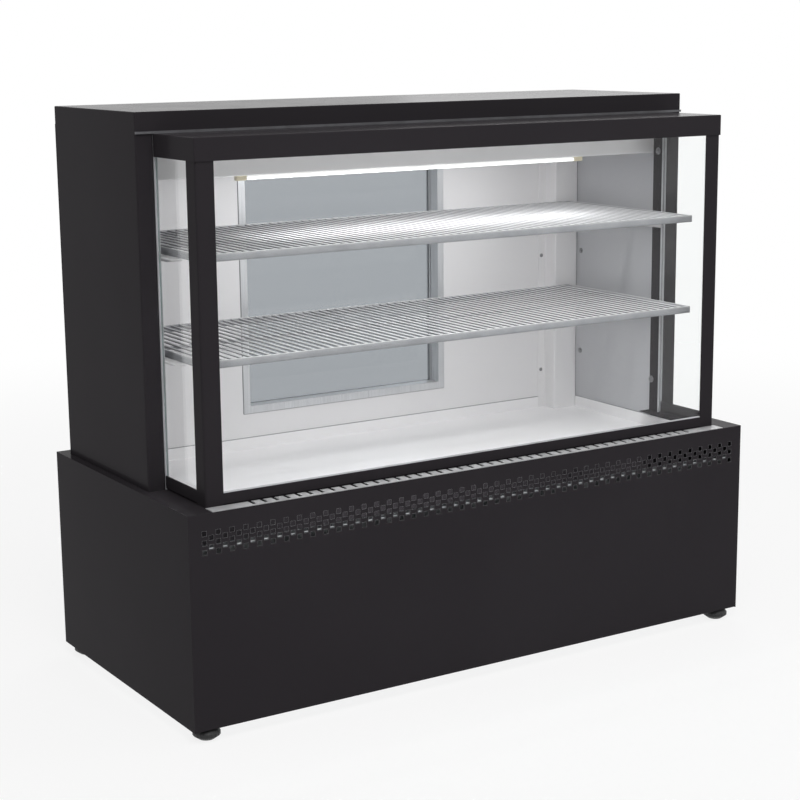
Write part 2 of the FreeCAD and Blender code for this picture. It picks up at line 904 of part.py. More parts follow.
pairs = {
    "plinth_side_panel": plinth_side_panel(),
    "cabinet_side_panel": cabinet_side_panel(),
    "side_liner": side_liner(),
    "corner_upright": corner_upright(),
    "front_post": front_post(),
    "side_rail": side_rail(),
    "side_glass": side_glass(),
    "glazing_channel": glazing_channel(),
    "lower_shelf_arm": shelf_arm(lower_shelf_height),
    "upper_shelf_arm": shelf_arm(upper_shelf_height),
}
for name, right in pairs.items():
    nodes[name + "_right"] = right
    nodes[name + "_left"] = mirrored(right)

os.makedirs("parts", exist_ok=True)
for name, shape in nodes.items():
    if not shape.isValid():
        print("not valid:", name)
    shape.exportStep("parts/" + name + ".step")
print(len(nodes), "nodes")
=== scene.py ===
import math
import bmesh
import bpy
from mathutils import Matrix, Vector


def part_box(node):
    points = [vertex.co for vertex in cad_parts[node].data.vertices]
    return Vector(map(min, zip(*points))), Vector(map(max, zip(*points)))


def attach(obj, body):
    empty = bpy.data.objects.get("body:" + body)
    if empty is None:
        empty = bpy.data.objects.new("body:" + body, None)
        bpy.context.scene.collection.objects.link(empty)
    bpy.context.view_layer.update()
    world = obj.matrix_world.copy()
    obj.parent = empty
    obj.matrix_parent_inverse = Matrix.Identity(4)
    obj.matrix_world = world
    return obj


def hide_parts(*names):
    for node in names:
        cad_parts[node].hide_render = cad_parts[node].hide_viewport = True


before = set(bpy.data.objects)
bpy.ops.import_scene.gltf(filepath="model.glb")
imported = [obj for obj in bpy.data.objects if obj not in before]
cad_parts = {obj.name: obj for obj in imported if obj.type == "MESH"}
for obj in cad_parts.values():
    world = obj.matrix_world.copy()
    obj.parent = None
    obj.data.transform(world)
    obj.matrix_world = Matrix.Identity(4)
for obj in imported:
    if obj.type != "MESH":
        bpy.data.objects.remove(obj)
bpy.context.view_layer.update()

print("frame loaded:", len(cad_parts), "nodes")


# shader tools

class Wire:  # a socket that takes part in sums
    def __init__(self, finish, socket):
        self.finish = finish
        self.socket = socket

    def maths(self, operation, *values):
        return self.finish.add("Math", {"operation": operation}, dict(enumerate(values)))

    def __add__(self, other):
        return self.maths("ADD", self, other)

    def __radd__(self, other):
        return self.maths("ADD", other, self)

    def __sub__(self, other):
        return self.maths("SUBTRACT", self, other)

    def __rsub__(self, other):
        return self.maths("SUBTRACT", other, self)

    def __mul__(self, other):
        return self.maths("MULTIPLY", self, other)

    def __rmul__(self, other):
        return self.maths("MULTIPLY", other, self)

    def __truediv__(self, other):
        return self.maths("DIVIDE", self, other)

    def __rtruediv__(self, other):
        return self.maths("DIVIDE", other, self)

    def __neg__(self):
        return self.maths("MULTIPLY", self, -1.0)

    def __abs__(self):
        return self.maths("ABSOLUTE", self)

    def __lt__(self, other):
        return self.maths("LESS_THAN", self, other)

    def __gt__(self, other):  # what 0.5 < mask turns into
        return self.maths("GREATER_THAN", self, other)

    def largest(self, other):
        return self.maths("MAXIMUM", self, other)

    def wrapped(self, step):
        return self.maths("MODULO", self, step)

    def fade(self, low, high):  # 0 below low, 1 above high
        sockets = {"Value": self, "From Min": low, "From Max": high}
        return self.finish.add("MapRange", {"interpolation_type": "SMOOTHSTEP"}, sockets)


class Finish:  # one material, or the world, and its nodes
    def __init__(self, name, kind=bpy.data.materials):
        self.material = kind.new(name)
        self.material.use_nodes = True
        self.tree = self.material.node_tree
        self.tree.nodes.clear()

    def feed(self, socket, value):
        if isinstance(value, Wire):
            self.tree.links.new(value.socket, socket)
        elif isinstance(value, (tuple, list)) and socket.type == "RGBA":
            socket.default_value = tuple(value)[:3] + (1.0,)
        else:
            socket.default_value = value

    def add(self, kind, settings=None, sockets=None, output=0):
        node = self.tree.nodes.new("ShaderNode" + kind)
        for name, value in (settings or {}).items():
            setattr(node, name, value)
        for name, value in (sockets or {}).items():
            self.feed(node.inputs[name], value)
        return Wire(self, node.outputs[output]) if len(node.outputs) else None  # an end node has none

    def place(self):  # metres in the case's own frame
        return self.add("TexCoord", output="Object")

    def axes(self, vector):
        parts = self.add("SeparateXYZ", sockets={"Vector": vector}).socket.node
        return [Wire(self, socket) for socket in parts.outputs]

    def stretched(self, vector, scale):
        return self.add("VectorMath", {"operation": "MULTIPLY"}, {0: vector, 1: scale})

    def noise(self, vector, scale, detail=2.0, roughness=0.5):
        sockets = {"Vector": vector, "Scale": scale, "Detail": detail, "Roughness": roughness}
        return self.add("TexNoise", sockets=sockets)

    def blend(self, share, first, second):
        settings = {"data_type": "RGBA"}
        return self.add("Mix", settings, {0: share, 6: first, 7: second}, output=2)

    def bump(self, height, strength, distance):
        return self.add("Bump", sockets={"Height": height, "Strength": strength, "Distance": distance})

    def normal(self):
        return self.add("NewGeometry", output="Normal")

    def seen(self):  # 1 where the eye, a mirror or a pane shows the surface
        rays = self.add("LightPath").socket.node.outputs
        camera = Wire(self, rays["Is Camera Ray"])
        glossy = Wire(self, rays["Is Glossy Ray"])
        through = Wire(self, rays["Is Transmission Ray"])
        return camera.largest(glossy).largest(through)

    def principled(self, sockets):
        return self.add("BsdfPrincipled", sockets=sockets)

    def surface(self, shader, end="OutputMaterial"):
        self.add(end, sockets={"Surface": shader})
        return self.material


# finishes

blackCoat = {
    "deep": (0.0340, 0.0304, 0.0343), "worn": (0.0376, 0.0341, 0.0382), "clouds": 2.2,
    "dust": (0.06, 0.06, 0.062), "dustGrain": 38.0, "dustShare": 0.05,
    "rough": 0.18, "smears": (9.0, 9.0, 2.5), "ior": 1.06, "peel": 330.0, "peelBump": (0.05, 0.0004)}


def makeBlackPaint():
    c = blackCoat
    f = Finish("black_gloss_powder_coat")
    p = f.place()
    clouds = f.noise(p, c["clouds"], 3.0)
    colour = f.blend(clouds.fade(0.35, 0.7), c["deep"], c["worn"])
    upward = f.axes(f.normal())[2]
    dust = upward.fade(0.7, 0.95) * f.noise(p, c["dustGrain"], 4.0).fade(0.42, 0.75) * c["dustShare"]
    colour = f.blend(dust, colour, c["dust"])
    smears = f.noise(f.stretched(p, c["smears"]), 1.0, 4.0).fade(0.45, 0.75)
    roughness = c["rough"] + clouds * 0.03 + smears * 0.015 + dust * 0.4
    peel = f.noise(p, c["peel"], 1.0)  # orange peel of the powder coat
    return f.surface(f.principled({
        "Base Color": colour, "Roughness": roughness, "IOR": c["ior"],
        "Normal": f.bump(peel, *c["peelBump"])}))


# a lighter copy of the lining enamel, painted light on the deck and valance
litEnamel = {"clean": (0.90, 0.89, 0.90), "aged": (0.87, 0.86, 0.872), "stain": (0.72, 0.705, 0.68)}
whiteEnamel = {"clean": (0.81, 0.80, 0.81), "aged": (0.775, 0.765, 0.777), "stain": (0.65, 0.635, 0.61)}
# a darker copy of the lining enamel, painted shade on the side walls
shadedEnamel = {"clean": (0.50, 0.505, 0.525), "aged": (0.47, 0.475, 0.495), "stain": (0.40, 0.395, 0.39)}
enamelCoat = {
    "clouds": 3.0, "specks": 210.0, "speckShare": 0.12, "rough": 0.3, "wipes": (55.0, 55.0, 3.0),
    "ior": 1.45, "peel": 420.0, "peelBump": (0.05, 0.0003),
    "foldShade": (0.012, 0.012, 0.013), "foldShadeDepth": 0.0005}


def makeEnamel(name, clean, aged, stain, shadedTo=None):
    c = enamelCoat
    f = Finish(name)
    p = f.place()
    clouds = f.noise(p, c["clouds"], 3.0)
    colour = f.blend(clouds.fade(0.3, 0.75), clean, aged)
    specks = f.noise(p, c["specks"], 1.0).fade(0.74, 0.8) * c["speckShare"]
    colour = f.blend(specks, colour, stain)
    if shadedTo is not None:  # painted shade: the outer face of the front fold, seen through the vent slots, is painted near black
        outer = (f.axes(p)[1] < shadedTo) * (f.axes(f.normal())[1] < -0.5)
        colour = f.blend(outer, colour, c["foldShade"])
    wiped = f.noise(f.stretched(p, c["wipes"]), 1.0, 3.0)  # upright wiping marks
    roughness = c["rough"] + wiped * 0.03 + clouds * 0.05
    peel = f.noise(p, c["peel"], 1.0)
    return f.surface(f.principled({
        "Base Color": colour, "Roughness": roughness, "IOR": c["ior"],
        "Normal": f.bump(peel, *c["peelBump"])}))


zincSheet = {
    "pale": (0.72, 0.74, 0.76), "dark": (0.47, 0.49, 0.52), "spangle": 95.0, "clouds": 14.0,
    "metal": 0.85, "rough": 0.3, "spangleBump": (0.08, 0.0003)}


def makeGalvanised():
    c = zincSheet
    f = Finish("galvanised_sheet")
    p = f.place()
    cells = f.add("TexVoronoi", {"feature": "F1"}, {"Vector": p, "Scale": c["spangle"]}, "Color")
    shade = f.axes(cells)[0]
    colour = f.blend(shade, c["dark"], c["pale"])
    roughness = c["rough"] + shade * 0.18 + f.noise(p, c["clouds"], 3.0) * 0.1
    return f.surface(f.principled({
        "Base Color": colour, "Metallic": c["metal"], "Roughness": roughness,
        "Normal": f.bump(shade, *c["spangleBump"])}))


brushedMetals = {  # grain is how fine the brushing is along each axis
    "satin_steel": {
        "grain": (9.0, 620.0, 620.0), "metal": 0.95,
        "pale": (0.80, 0.80, 0.81), "dark": (0.62, 0.62, 0.64)},
    "anodised_aluminium": {
        "grain": (700.0, 700.0, 8.0), "metal": 0.6,
        "pale": (0.70, 0.71, 0.73), "dark": (0.60, 0.61, 0.63)},
    "dull_zinc": {
        "grain": (300.0, 300.0, 300.0), "metal": 0.6,
        "pale": (0.36, 0.36, 0.37), "dark": (0.19, 0.19, 0.20)},
}
brushing = {"clouds": 6.0, "rough": 0.2, "lineBump": (0.06, 0.0002)}


def makeBrushed(name):
    c = brushedMetals[name]
    f = Finish(name)
    p = f.place()
    lines = f.noise(f.stretched(p, c["grain"]), 1.0, 3.0, 0.6)
    clouds = f.noise(p, brushing["clouds"], 2.0)
    colour = f.blend(lines.fade(0.3, 0.7), c["dark"], c["pale"])
    roughness = brushing["rough"] + lines * 0.16 + clouds * 0.08
    return f.surface(f.principled({
        "Base Color": colour, "Metallic": c["metal"], "Roughness": roughness,
        "Normal": f.bump(lines, *brushing["lineBump"])}))


# litTops and below are painted light and painted shade on the wires, not colours of the coat
epoxy = {
    "pale": (0.31, 0.315, 0.33), "dull": (0.265, 0.27, 0.285), "clouds": 22.0,
    "chip": (0.22, 0.215, 0.21), "chips": 160.0, "chipShare": 0.7,
    "litTops": (0.62, 0.62, 0.63), "below": (0.06, 0.06, 0.064),
    "rough": 0.38, "ior": 1.3, "grain": 520.0, "grainBump": (0.1, 0.0002)}


def makeShelfCoat():
    c = epoxy
    f = Finish("grey_epoxy_wire_coat")
    p = f.place()
    clouds = f.noise(p, c["clouds"], 3.0)
    colour = f.blend(clouds.fade(0.35, 0.7), c["pale"], c["dull"])
    chips = f.noise(p, c["chips"], 2.0).fade(0.76, 0.8)
    colour = f.blend(chips * c["chipShare"], colour, c["chip"])
    upward = f.axes(f.normal())[2]
    colour = f.blend(upward.fade(0.05, 0.4), colour, c["litTops"])  # painted light: the tops are painted lighter, where the lamp above lights them
    colour = f.blend((-upward).fade(0.05, 0.5), colour, c["below"])  # painted shade: the undersides are painted dark
    roughness = c["rough"] + clouds * 0.14 + chips * 0.2
    return f.surface(f.principled({
        "Base Color": colour, "Roughness": roughness, "IOR": c["ior"],
        "Normal": f.bump(f.noise(p, c["grain"], 1.0), *c["grainBump"])}))


clearPane = {"tint": (0.980, 0.988, 0.986), "edge": (0.30, 0.52, 0.46)}
greyPane = {"tint": (0.355, 0.378, 0.402), "edge": (0.16, 0.24, 0.25)}
paneMaking = {"wipes": (7.0, 7.0, 3.0), "rough": 0.004, "ior": 1.26}
facingX = 0  # the axis that a pane's broad faces look along
facingY = 1


def makeGlass(name, facing, tint, edge):
    f = Finish(name)
    p = f.place()
    across = abs(f.axes(f.normal())[facing])  # 1 on the broad faces, 0 on the cut edges
    wipes = f.noise(f.stretched(p, paneMaking["wipes"]), 1.0, 4.0).fade(0.5, 0.8)
    colour = f.blend(across.fade(0.4, 0.6), edge, tint)
    pane = f.principled({
        "Base Color": colour, "Roughness": wipes * paneMaking["rough"], "IOR": paneMaking["ior"],
        "Transmission Weight": 1.0})
    through = f.add("BsdfTransparent", sockets={"Color": tint})
    shadow = f.add("LightPath", output="Is Shadow Ray")
    return f.surface(f.add("MixShader", sockets={0: shadow, 1: pane, 2: through}))


paleTrim = {"pale": (0.50, 0.50, 0.525), "grubby": (0.40, 0.40, 0.41)}
darkTrim = {"pale": (0.13, 0.13, 0.14), "grubby": (0.09, 0.09, 0.095)}
# the vent strip's pale tone is partly its own metal and partly a painted reflection of the lamp
stripToneAndGlare = {"pale": (0.50, 0.50, 0.51), "grubby": (0.40, 0.40, 0.41)}
trimCoat = {"clouds": 26.0, "rough": 0.34, "ior": 1.45, "grain": 300.0, "grainBump": (0.08, 0.0002)}


def makeTrim(name, pale, grubby):
    c = trimCoat
    f = Finish(name)
    p = f.place()
    clouds = f.noise(p, c["clouds"], 4.0)
    colour = f.blend(clouds.fade(0.4, 0.75), pale, grubby)
    return f.surface(f.principled({
        "Base Color": colour, "Roughness": c["rough"] + clouds * 0.2, "IOR": c["ior"],
        "Normal": f.bump(f.noise(p, c["grain"], 1.0), *c["grainBump"])}))


lampGlow = {
    "lit": (1.0, 0.985, 0.95), "between": (0.52, 0.53, 0.55), "back": (0.22, 0.22, 0.22),
    "tube": (0.9, 0.9, 0.88), "rough": 0.35, "pitch": 0.0119, "start": 2.0, "strength": 1.7}


def makeLamp():
    c = lampGlow
    f = Finish("lit_lamp_diffuser")
    x = f.axes(f.place())[0]
    upward = f.axes(f.normal())[2]
    along = (x + c["start"]).wrapped(c["pitch"]) / c["pitch"]  # start keeps x above zero
    beat = abs(along - 0.5) * 2.0  # one diode each pitch
    colour = f.blend(beat.fade(0.2, 0.9), c["lit"], c["between"])
    colour = f.blend(upward.fade(0.1, 0.6), colour, c["back"])  # the upper half is the metal back
    return f.surface(f.principled({
        "Base Color": c["tube"], "Roughness": c["rough"] + beat * 0.1,
        "Emission Color": colour, "Emission Strength": c["strength"]}))


mouldings = {
    "holder_plastic": {
        "name": "ivory_holder_plastic", "rough": 0.3, "grain": 500.0,
        "body": (0.84, 0.77, 0.58), "marks": (0.78, 0.70, 0.50)},
    "driver_case": {
        "name": "driver_case_plastic", "rough": 0.4, "grain": 420.0,
        "body": (0.70, 0.70, 0.69), "marks": (0.60, 0.60, 0.59)},
    "lead_sheath": {
        "name": "grey_lead_sheath", "rough": 0.45, "grain": 700.0,
        "body": (0.30, 0.30, 0.31), "marks": (0.24, 0.24, 0.25)},
    "black_plastic": {
        "name": "black_switch_plastic", "rough": 0.35, "grain": 900.0,
        "body": (0.018, 0.018, 0.019), "marks": (0.03, 0.03, 0.03)},
    "rocker_plastic": {
        "name": "black_rocker_plastic", "rough": 0.25, "grain": 900.0,
        "body": (0.012, 0.012, 0.013), "marks": (0.02, 0.02, 0.02)},
    "foot_plastic": {
        "name": "black_foot_plastic", "rough": 0.4, "grain": 650.0,
        "body": (0.014, 0.014, 0.015), "marks": (0.03, 0.03, 0.031)},
    "grey_rubber": {
        "name": "grey_door_gasket", "rough": 0.55, "grain": 800.0,
        "body": (0.36, 0.36, 0.37), "marks": (0.28, 0.28, 0.29)},
    "black_rubber": {
        "name": "black_rubber", "rough": 0.6, "grain": 800.0,
        "body": (0.016, 0.016, 0.016), "marks": (0.035, 0.035, 0.034)},
}
sealant = {
    "name": "grey_sealant", "rough": 0.45, "grain": 700.0,
    "body": (0.30, 0.30, 0.31), "marks": (0.24, 0.24, 0.25)}
moulded = {"clouds": 30.0, "ior": 1.46, "grainBump": (0.12, 0.0002)}


def makeMoulding(name, body, marks, rough, grain):
    f = Finish(name)
    p = f.place()
    clouds = f.noise(p, moulded["clouds"], 3.0)
    colour = f.blend(clouds.fade(0.4, 0.8), body, marks)
    texture = f.noise(p, grain, 2.0)
    return f.surface(f.principled({
        "Base Color": colour, "Roughness": rough + clouds * 0.12 + texture * 0.06, "IOR": moulded["ior"],
        "Normal": f.bump(texture, *moulded["grainBump"])}))


finishes = {  # by the record's material slot
    "black_paint": makeBlackPaint(),
    "white_paint": makeEnamel("white_enamel_lining", **whiteEnamel),
    "galvanised_steel": makeGalvanised(),
    "satin_steel": makeBrushed("satin_steel"),
    "shelf_wire": makeShelfCoat(),
    "anodised_aluminium": makeBrushed("anodised_aluminium"),
    "pale_trim": makeTrim("pale_grey_trim", **paleTrim),
    "lamp_diffuser": makeLamp(),
}
for slotName, making in mouldings.items():
    finishes[slotName] = makeMoulding(**making)
dullZinc = makeBrushed("dull_zinc")
greySealant = makeMoulding(**sealant)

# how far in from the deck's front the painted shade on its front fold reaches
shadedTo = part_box("deck_tray")[0].y + enamelCoat["foldShadeDepth"]
# the side liners take the darker enamel as painted shade
shadedSideLining = makeEnamel("side_enamel_painted_shade", **shadedEnamel)
sideGlass = makeGlass("clear_side_glass", facingX, **clearPane)
nodeFinishes = {  # nodes whose finish differs from their slot's
    "fascia_trim": makeTrim("dark_grey_trim", **darkTrim),
    "vent_strip": makeTrim("vent_strip_tone_and_painted_glare", **stripToneAndGlare),
    "deck_tray": makeEnamel("deck_enamel_painted_light", shadedTo=shadedTo, **litEnamel),
    "valance": makeEnamel("valance_enamel_painted_light", **litEnamel),
    "side_liner_left": shadedSideLining,
    "side_liner_right": shadedSideLining,
    "front_glass": makeGlass("clear_front_glass", facingY, **clearPane),
    "door_glass": makeGlass("grey_door_glass", facingY, **greyPane),
    "side_glass_left": sideGlass,
    "side_glass_right": sideGlass,
}

for name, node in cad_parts.items():
    slotName = node.data.materials[0].name
    node.data.materials[0] = nodeFinishes.get(name) or finishes[slotName]
print("finishes made:", len({*finishes.values(), *nodeFinishes.values(), dullZinc, greySealant}))


# mesh tools

def finishPiece(name, bm, body, slotName, sharp, finish=None):
    bmesh.ops.recalc_face_normals(bm, faces=bm.faces)
    mesh = bpy.data.meshes.new(name)
    bm.to_mesh(mesh)
    bm.free()
    mesh.shade_smooth()
    mesh.set_sharp_from_angle(angle=math.radians(sharp))
    mesh.materials.append(finish or finishes[slotName])
    piece = bpy.data.objects.new(name, mesh)
    bpy.context.scene.collection.objects.link(piece)
    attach(piece, body)
    return piece


def rod(bm, start, end, radius, sides):
    axis = end - start
    turn = axis.to_track_quat("Z", "Y").to_matrix().to_4x4()
    bmesh.ops.create_cone(
        bm, cap_ends=True, segments=sides, radius1=radius, radius2=radius, depth=axis.length,
        matrix=Matrix.Translation((start + end) / 2) @ turn)


def bar(bm, low, high, edge):
    made = bmesh.ops.create_cube(bm, size=1.0)["verts"]
    size = high - low
    for v in made:
        v.co = low + Vector((size.x * (v.co.x + 0.5), size.y * (v.co.y + 0.5), size.z * (v.co.z + 0.5)))
    edges = list({e for v in made for e in v.link_edges})
    bmesh.ops.bevel(bm, geom=edges, offset=edge, segments=2, profile=0.5, affect="EDGES")


def lathe(bm, profile, sides, place, wave=None):  # profile of (radius, height); wave varies a radius
    rings = []
    for radius, height in profile:
        ring = []
        for step in range(sides):
            angle = 2 * math.pi * step / sides
            r = wave(radius, angle) if wave else radius
            ring.append(bm.verts.new(place @ Vector((r * math.cos(angle), r * math.sin(angle), height))))
        rings.append(ring)
    for lower, upper in zip(rings, rings[1:]):
        for step in range(sides):
            after = (step + 1) % sides
            bm.faces.new((lower[step], lower[after], upper[after], upper[step]))
    bm.faces.new(rings[0][::-1])
    bm.faces.new(rings[-1])


# wire shelves

shelfMaking = {
    "barGauge": 0.003, "edge": 0.0006, "middleBar": 0.006, "middleDrop": 0.9,
    "wireRadius": 0.0019, "pitch": 0.0174, "sides": 14, "sharp": 35.0}


def makeShelf(node):
    s = shelfMaking
    low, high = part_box(node)
    gauge = s["barGauge"]
    bm = bmesh.new()
    for y in (low.y, high.y - gauge):
        bar(bm, Vector((low.x, y, low.z)), Vector((high.x, y + gauge, high.z)), s["edge"])
    for x in (low.x, high.x - gauge):
        bar(bm, Vector((x, low.y + gauge, low.z)), Vector((x + gauge, high.y - gauge, high.z)), s["edge"])
    axis = high.z - s["wireRadius"]
    count = math.floor((high.x - low.x - 2 * gauge) / s["pitch"])
    for step in range(count):
        x = (step - (count - 1) / 2) * s["pitch"]
        rod(bm, Vector((x, low.y + gauge / 2, axis)), Vector((x, high.y - gauge / 2, axis)),
            s["wireRadius"], s["sides"])
    middle = (low.y + high.y) / 2
    top = axis - s["wireRadius"] * s["middleDrop"]  # the wires are welded onto the middle bar
    bar(bm, Vector((low.x + gauge, middle - gauge / 2, top - s["middleBar"])),
        Vector((high.x - gauge, middle + gauge / 2, top)), s["edge"])
    piece = finishPiece(node + "_wirework", bm, "case", "shelf_wire", s["sharp"])
    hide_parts(node)


makeShelf("lower_shelf")
makeShelf("upper_shelf")
print("wire shelves made")


# bare edges of the punched holes

holeRim = {
    "width": 0.0002, "depth": 0.0005, "sharp": 30.0,
    "border": 0.01, "onFront": 1e-5, "sideWall": 0.1}  # a hole's side wall hardly faces the front


def makeHoleRims():
    h = holeRim
    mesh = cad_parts["plinth_front_panel"].data
    low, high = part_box("plinth_front_panel")
    back = Vector((0, h["depth"], 0))
    bm = bmesh.new()
    for face in mesh.polygons:
        corners = [mesh.vertices[k].co for k in face.vertices]
        edge = [v for v in corners if abs(v.y - low.y) < h["onFront"]]
        if len(edge) != 2 or abs(face.normal.y) > h["sideWall"]:
            continue
        inRows = low.z + h["border"] < edge[0].z < high.z - h["border"]
        if abs(edge[0].x) > high.x - h["border"] or not inRows:  # the panel's own edge
            continue
        inward = face.normal * h["width"]
        rim = [edge[0], edge[1], edge[1] + inward, edge[0] + inward]
        lower = [bm.verts.new(v) for v in rim]
        upper = [bm.verts.new(v + back) for v in rim]
        bm.faces.new(lower)
        bm.faces.new(upper[::-1])
        for k in range(len(rim)):
            after = (k + 1) % len(rim)
            bm.faces.new((lower[k], upper[k], upper[after], lower[after]))
    finishPiece("grille_hole_rims", bm, "case", "galvanised_steel", h["sharp"], dullZinc)


makeHoleRims()
print("hole rims made")


# screws

screwHead = {
    "radius": 0.0042, "height": 0.0022, "dome": 0.75, "edge": 0.8, "sharp": 30.0,
    "slot": 0.17, "reach": 0.56, "sink": 0.0011, "turn": 0.4, "turnByHeight": 7.0,
    "washer": 0.0062, "washerGauge": 0.0009, "washerSides": 28,
    "washerProfile": ((1.0, 0.0), (1.0, 0.7), (0.96, 1.0), (0.5, 1.0))}  # shares of radius and gauge


def screw(bm, centre, direction, scale, washer):
    h = screwHead
    upright = Vector(direction).to_track_quat("Z", "Y").to_matrix().to_4x4()
    slotTurn = h["turn"] + h["turnByHeight"] * centre.z  # the slots turn with height
    place = Matrix.Translation(centre) @ upright @ Matrix.Rotation(slotTurn, 4, "Z")
    lift = 0.0
    if washer:
        lift = h["washerGauge"] * scale
        profile = [(r * h["washer"] * scale, z * lift) for r, z in h["washerProfile"]]
        lathe(bm, profile, h["washerSides"], place)
    stops = [-1.0, -h["edge"], -h["reach"], -h["slot"], h["slot"], h["reach"], h["edge"], 1.0]
    last = len(stops) - 1
    middle = last // 2
    radius = h["radius"] * scale
    grid = {}
    for i, u in enumerate(stops):
        for j, v in enumerate(stops):
            x = u * math.sqrt(1 - v * v / 2)
            y = v * math.sqrt(1 - u * u / 2)
            z = lift + h["height"] * scale * (1 - h["dome"] * (x * x + y * y))
            grid[i, j] = bm.verts.new(place @ Vector((x * radius, y * radius, z)))
    cross = []
    for i in range(last):
        for j in range(last):
            face = bm.faces.new((grid[i, j], grid[i + 1, j], grid[i + 1, j + 1], grid[i, j + 1]))
            if abs(i - middle) + abs(j - middle) <= 1:
                cross.append(face)
    steps = range(last)
    rim = [grid[i, 0] for i in steps] + [grid[last, j] for j in steps]
    rim += [grid[last - i, last] for i in steps] + [grid[0, last - j] for j in steps]
    foot = [bm.verts.new(v.co) for v in rim]
    outward = place.to_3x3() @ Vector((0, 0, 1))
    for v in foot:
        v.co -= outward * ((v.co - Vector(centre)).dot(outward))
    bm.faces.new(foot)
    for k in range(len(rim)):
        after = (k + 1) % len(rim)
        bm.faces.new((foot[k], foot[after], rim[after], rim[k]))
    sunk = bmesh.ops.extrude_face_region(bm, geom=cross)["geom"]
    for v in (g for g in sunk if isinstance(g, bmesh.types.BMVert)):
        v.co -= outward * h["sink"] * scale
    bmesh.ops.delete(bm, geom=cross, context="FACES_ONLY")


def screws(name, places, direction, scale, washer=False, finish=None):
    bm = bmesh.new()
    for centre in places:
        way = direction(centre) if callable(direction) else direction
        screw(bm, Vector(centre), Vector(way), scale, washer)
    finishPiece(name, bm, "case", "satin_steel", screwHead["sharp"], finish)


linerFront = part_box("rear_liner")[0].y
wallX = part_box("cabinet_side_panel_right")[0].x
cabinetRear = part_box("rear_outer_panel")[1].y
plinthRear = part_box("plinth_rear_panel")[1].y
leftRight = (-1, 1)
frontward = (0, -1, 0)
rearward = (0, 1, 0)


def towardsMiddle(centre):
    return (-1 if centre[0] > 0 else 1, 0, 0)


postScrews = {"places": ((-0.062, 0.459), (-0.071, 0.922)), "scale": 1.15}  # y and z on each inner wall
liningScrews = {"y": 0.173, "heights": (0.485, 0.70, 0.955), "scale": 0.95}
uprightScrews = {"x": 0.485, "flange": 0.0015, "heights": (0.443, 0.69, 0.93), "scale": 0.95}


def makeInnerScrews():
    places = [(side * wallX, y, z) for side in leftRight for y, z in postScrews["places"]]
    screws("post_screws", places, towardsMiddle, postScrews["scale"], True, dullZinc)
    places = [(side * wallX, liningScrews["y"], z) for side in leftRight for z in liningScrews["heights"]]
    screws("lining_screws", places, towardsMiddle, liningScrews["scale"], True, dullZinc)
    u = uprightScrews
    flangeY = linerFront - u["flange"]
    places = [(side * u["x"], flangeY, z) for side in leftRight for z in u["heights"]]
    screws("upright_screws", places, frontward, u["scale"], False, dullZinc)


rearScrews = {
    "edgeX": 0.572, "edgeHeights": (0.42, 0.60, 0.79, 0.98),
    "rowX": 0.34, "rowHeights": (0.405, 0.985), "scale": 0.9}
plinthScrews = {
    "edgeX": 0.585, "edgeHeights": (0.06, 0.21, 0.36),
    "rowX": 0.29, "rowHeights": (0.06, 0.375), "scale": 0.9}


def makePanelScrews(name, face, making):  # down both edges, then along the top and bottom
    rowX = making["rowX"]
    places = [(side * making["edgeX"], face, z) for side in leftRight for z in making["edgeHeights"]]
    places += [(x, face, z) for x in (-rowX, 0.0, rowX) for z in making["rowHeights"]]
    screws(name, places, rearward, making["scale"])


hingeScrews = {"inset": 0.008, "plate": 0.002, "tall": 0.020, "heights": (0.005, 0.015), "scale": 0.62}


def makeHingeScrews():
    h = hingeScrews
    low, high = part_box("hinge_brackets")
    feet = (low.z, high.z - h["tall"])  # of the lower and the upper bracket
    places = [(high.x - h["inset"], cabinetRear + h["plate"], z + dz) for z in feet for dz in h["heights"]]
    screws("hinge_bracket_screws", places, rearward, h["scale"])


makeInnerScrews()
makePanelScrews("rear_panel_screws", cabinetRear, rearScrews)
makePanelScrews("plinth_rear_screws", plinthRear, plinthScrews)
makeHingeScrews()
print("screws made")


# beads of sealant

bead = {"steps": 5, "edge": 0.92, "sharp": 50.0}


def runBead(bm, start, end, inner, up):  # a quarter round from start to end; inner and up are its legs
    outline = [Vector((0, 0, 0)), inner]
    for step in range(bead["steps"] + 1):
        turn = 0.5 * math.pi * step / bead["steps"]
        across = 1 - math.sin(turn) * bead["edge"]
        rise = 1 - bead["edge"] * (1 - math.cos(turn))
        outline.append(inner * across + up * rise)
    rings = [[bm.verts.new(Vector(place) + point) for point in outline] for place in (start, end)]
    count = len(outline)
    for k in range(count):
        after = (k + 1) % count
        bm.faces.new((rings[0][k], rings[0][after], rings[1][after], rings[1][k]))
    bm.faces.new(rings[0])
    bm.faces.new(rings[1][::-1])


frontBead = {"setBack": 0.0004, "rise": 0.0022}


def makeFrontBead():
    railLow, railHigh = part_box("front_rail")
    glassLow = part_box("front_glass")[0]
    front = railLow.y + frontBead["setBack"]
    bm = bmesh.new()
    runBead(bm, (railLow.x, front, railHigh.z), (railHigh.x, front, railHigh.z),
            Vector((0, glassLow.y - front, 0)), Vector((0, 0, frontBead["rise"])))
    finishPiece("front_glass_bead", bm, "case", "pale_trim", bead["sharp"])


deckSeal = {"width": 0.0015, "rise": 0.0012, "gap": 0.0004}


def makeDeckSeal():
    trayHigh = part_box("deck_tray")[1]
    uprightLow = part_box("corner_upright_right")[0]
    endX = uprightLow.x
    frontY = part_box("side_liner_right")[0].y
    rearY = uprightLow.y - deckSeal["gap"]
    up = Vector((0, 0, deckSeal["rise"]))
    bm = bmesh.new()
    y = trayHigh.y - deckSeal["width"]
    runBead(bm, (-endX, y, trayHigh.z), (endX, y, trayHigh.z), Vector((0, linerFront - y, 0)), up)
    for side in leftRight:
        x = side * (trayHigh.x - deckSeal["width"])
        toWall = Vector((side * wallX - x, 0, 0))
        runBead(bm, (x, frontY, trayHigh.z), (x, rearY, trayHigh.z), toWall, up)
    finishPiece("deck_seal", bm, "case", "grey_rubber", bead["sharp"], greySealant)


ledgeSeal = {"depth": 0.005}


